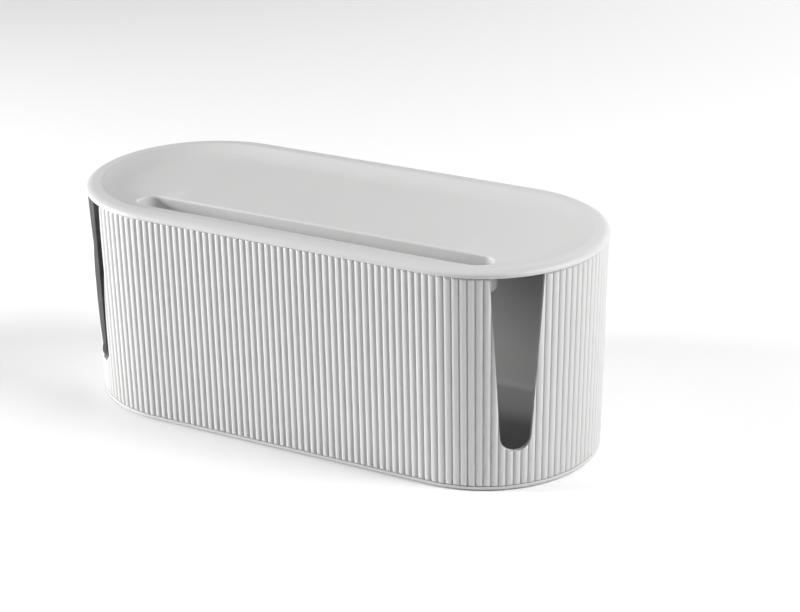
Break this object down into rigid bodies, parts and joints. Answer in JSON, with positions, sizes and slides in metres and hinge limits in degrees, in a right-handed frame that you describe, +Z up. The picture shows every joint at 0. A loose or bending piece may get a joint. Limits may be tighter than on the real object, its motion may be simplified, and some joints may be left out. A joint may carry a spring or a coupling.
{
  "type": "cable organiser box",
  "caption": "Oval reeded box with cable notches at its front corners and a lift-off dished lid with a pen and phone slot, for hiding a power strip.",
  "frame": {"origin": "centre of the footprint, on the surface that the feet stand on", "axes": "+Z up, +X along the length to the right end, -Y the front, where the cable notches are"},
  "size_m": [0.31, 0.135, 0.125],
  "materials": {
    "moulded_body": "fine satin moulded plastic, light neutral grey",
    "moulded_lid": "fine satin moulded plastic, light neutral grey",
    "silicone_pad": "matt silicone, mid grey"
  },
  "bodies": {
    "box": {"box_body": "moulded_body", "foot_front_left": "silicone_pad", "foot_front_right": "silicone_pad", "foot_rear_left": "silicone_pad", "foot_rear_right": "silicone_pad"},
    "lid": {"lid": "moulded_lid"}
  },
  "joints": [
    {"name": "lid_lift", "type": "slide", "parent": "box", "child": "lid", "axis": [0, 0, 1], "range_m": [0, 0.08]}
  ]
}
